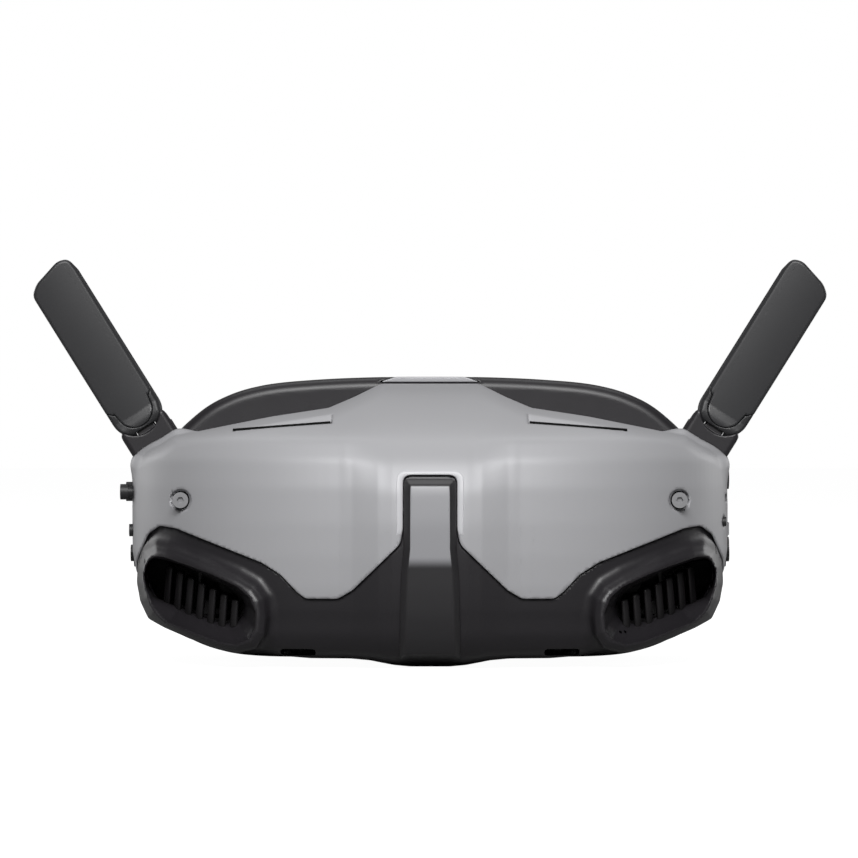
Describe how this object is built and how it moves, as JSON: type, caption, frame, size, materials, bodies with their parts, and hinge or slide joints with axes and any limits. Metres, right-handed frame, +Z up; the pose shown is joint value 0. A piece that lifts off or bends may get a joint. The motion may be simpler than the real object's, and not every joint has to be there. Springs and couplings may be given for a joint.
{
  "type": "fpv goggles",
  "caption": "Head-worn video goggles with a shell casing, air nozzles, face cushion, folding paddle antennas and sliding, focusing eye units.",
  "frame": {"origin": "middle of the underside, on the surface the goggles stand on", "axes": "+Z up, front faces -Y, +X towards the wearer's left"},
  "size_m": [0.2052, 0.1039, 0.1031],
  "materials": {
    "grey_shell": "fine matt moulded, satin coat",
    "black_shell": "satin moulded",
    "strip": "satin coat",
    "foam": "knitted cover over foam",
    "soft_rubber": "matt",
    "inner_plastic": "fine texture",
    "sensor_window": "dark red polished",
    "light_pipe": "translucent",
    "steel": "plain",
    "circuit_board": "solder mask",
    "lens_glass": "coated, polished",
    "barrel_black": "fine texture",
    "brass": "turned",
    "knob": "ribbed",
    "aluminium": "extruded",
    "antenna_black": "satin moulded",
    "antenna_front": "fine matt",
    "control": "satin"
  },
  "bodies": {
    "body": {"front_shell": "grey_shell", "lower_cover": "black_shell", "center_strip": "strip", "vent_grille_left": "black_shell", "vent_grille_right": "black_shell", "top_trim": "grey_shell", "rear_frame": "black_shell", "face_foam": "foam", "nose_shield": "soft_rubber", "lens_plate": "inner_plastic", "proximity_window": "sensor_window", "status_light": "light_pipe", "guide_rods": "steel", "main_board": "circuit_board", "heat_sink": "aluminium", "fan_housing_left": "inner_plastic", "fan_housing_right": "inner_plastic", "antenna_stub_left": "antenna_black", "antenna_stub_right": "antenna_black", "joystick_base": "inner_plastic", "usb_port": "steel", "card_socket": "steel", "audio_jack": "control", "power_port": "control", "headband_mount_left": "control", "headband_mount_right": "control", "front_screws": "steel", "frame_screws": "steel"},
    "eye_carriage_left": {"eye_carriage_left": "inner_plastic", "display_module_left": "circuit_board"},
    "eye_carriage_right": {"eye_carriage_right": "inner_plastic", "display_module_right": "circuit_board"},
    "lens_left": {"lens_barrel_left": "barrel_black", "eye_lens_left": "lens_glass", "field_lens_left": "lens_glass"},
    "lens_right": {"lens_barrel_right": "barrel_black", "eye_lens_right": "lens_glass", "field_lens_right": "lens_glass"},
    "knob_lift_left": {"knob_bush_left": "brass"},
    "knob_lift_right": {"knob_bush_right": "brass"},
    "knob_left": {"focus_knob_left": "knob"},
    "knob_right": {"focus_knob_right": "knob"},
    "fan_left": {"fan_rotor_left": "inner_plastic"},
    "fan_right": {"fan_rotor_right": "inner_plastic"},
    "antenna_left": {"antenna_cover_left": "antenna_front", "antenna_back_left": "antenna_black", "antenna_board_left": "circuit_board", "antenna_pin_left": "steel"},
    "antenna_right": {"antenna_cover_right": "antenna_front", "antenna_back_right": "antenna_black", "antenna_board_right": "circuit_board", "antenna_pin_right": "steel"},
    "stick_gimbal": {"joystick_gimbal": "steel"},
    "stick_yoke": {"joystick_yoke": "control"},
    "stick_cap": {"joystick_cap": "control"},
    "back_button": {"back_button": "control"},
    "record_button": {"record_button": "control"},
    "link_button": {"link_button": "control"}
  },
  "joints": [
    {"name": "antenna_fold_left", "type": "hinge", "parent": "body", "child": "antenna_left", "pos_m": [0.0743, 0.002, 0.0616], "axis": [-0.848, 0, 0.5299], "range_deg": [0, 92]},
    {"name": "eye_spacing_left", "type": "slide", "parent": "body", "child": "eye_carriage_left", "axis": [1, 0, 0], "range_m": [-0.004, 0.004]},
    {"name": "lens_focus_left", "type": "slide", "parent": "eye_carriage_left", "child": "lens_left", "axis": [0, 1, 0], "range_m": [-0.00392, 0.00098]},
    {"name": "knob_pop_out_left", "type": "slide", "parent": "eye_carriage_left", "child": "knob_lift_left", "axis": [0, 0, -1], "range_m": [0, 0.002]},
    {"name": "knob_turn_left", "type": "hinge", "parent": "knob_lift_left", "child": "knob_left", "pos_m": [0.032, -0.02, 0.005], "axis": [0, 0, 1], "range_deg": [-240, 60]},
    {"name": "fan_spin_left", "type": "hinge", "parent": "body", "child": "fan_left", "pos_m": [0.0505, -0.02, 0.021], "axis": [0, 1, 0], "continuous": true},
    {"name": "antenna_fold_right", "type": "hinge", "parent": "body", "child": "antenna_right", "pos_m": [-0.0743, 0.002, 0.0616], "axis": [-0.848, 0, -0.5299], "range_deg": [0, 92]},
    {"name": "eye_spacing_right", "type": "slide", "parent": "body", "child": "eye_carriage_right", "axis": [-1, 0, 0], "range_m": [-0.004, 0.004]},
    {"name": "lens_focus_right", "type": "slide", "parent": "eye_carriage_right", "child": "lens_right", "axis": [0, 1, 0], "range_m": [-0.00392, 0.00098]},
    {"name": "knob_pop_out_right", "type": "slide", "parent": "eye_carriage_right", "child": "knob_lift_right", "axis": [0, 0, -1], "range_m": [0, 0.002]},
    {"name": "knob_turn_right", "type": "hinge", "parent": "knob_lift_right", "child": "knob_right", "pos_m": [-0.032, -0.02, 0.005], "axis": [0, 0, 1], "range_deg": [-240, 60]},
    {"name": "fan_spin_right", "type": "hinge", "parent": "body", "child": "fan_right", "pos_m": [-0.0505, -0.02, 0.021], "axis": [0, 1, 0], "continuous": true},
    {"name": "stick_tilt_up_down", "type": "hinge", "parent": "body", "child": "stick_gimbal", "pos_m": [-0.0723, 0.002, 0.0435], "axis": [0, 1, 0], "range_deg": [-7, 7], "stiffness_Nm_per_rad": 0.02},
    {"name": "stick_tilt_fore_aft", "type": "hinge", "parent": "stick_gimbal", "child": "stick_yoke", "pos_m": [-0.0723, 0.002, 0.0435], "axis": [0, 0, 1], "range_deg": [-7, 7], "stiffness_Nm_per_rad": 0.02},
    {"name": "stick_press", "type": "slide", "parent": "stick_yoke", "child": "stick_cap", "axis": [1, 0, 0], "range_m": [0, 0.0005], "stiffness_N_per_m": 600},
    {"name": "back_press", "type": "slide", "parent": "body", "child": "back_button", "axis": [1, 0, 0], "range_m": [0, 0.0004], "stiffness_N_per_m": 500},
    {"name": "record_press", "type": "slide", "parent": "body", "child": "record_button", "axis": [1, 0, 0], "range_m": [0, 0.0004], "stiffness_N_per_m": 500},
    {"name": "link_press", "type": "slide", "parent": "body", "child": "link_button", "axis": [-1, 0, 0], "range_m": [0, 0.0004], "stiffness_N_per_m": 500}
  ],
  "couplings": [
    {"joint": "knob_turn_left", "follows": "lens_focus_left", "rad_per_m": 1068.4},
    {"joint": "knob_turn_right", "follows": "lens_focus_right", "rad_per_m": 1068.4}
  ]
}
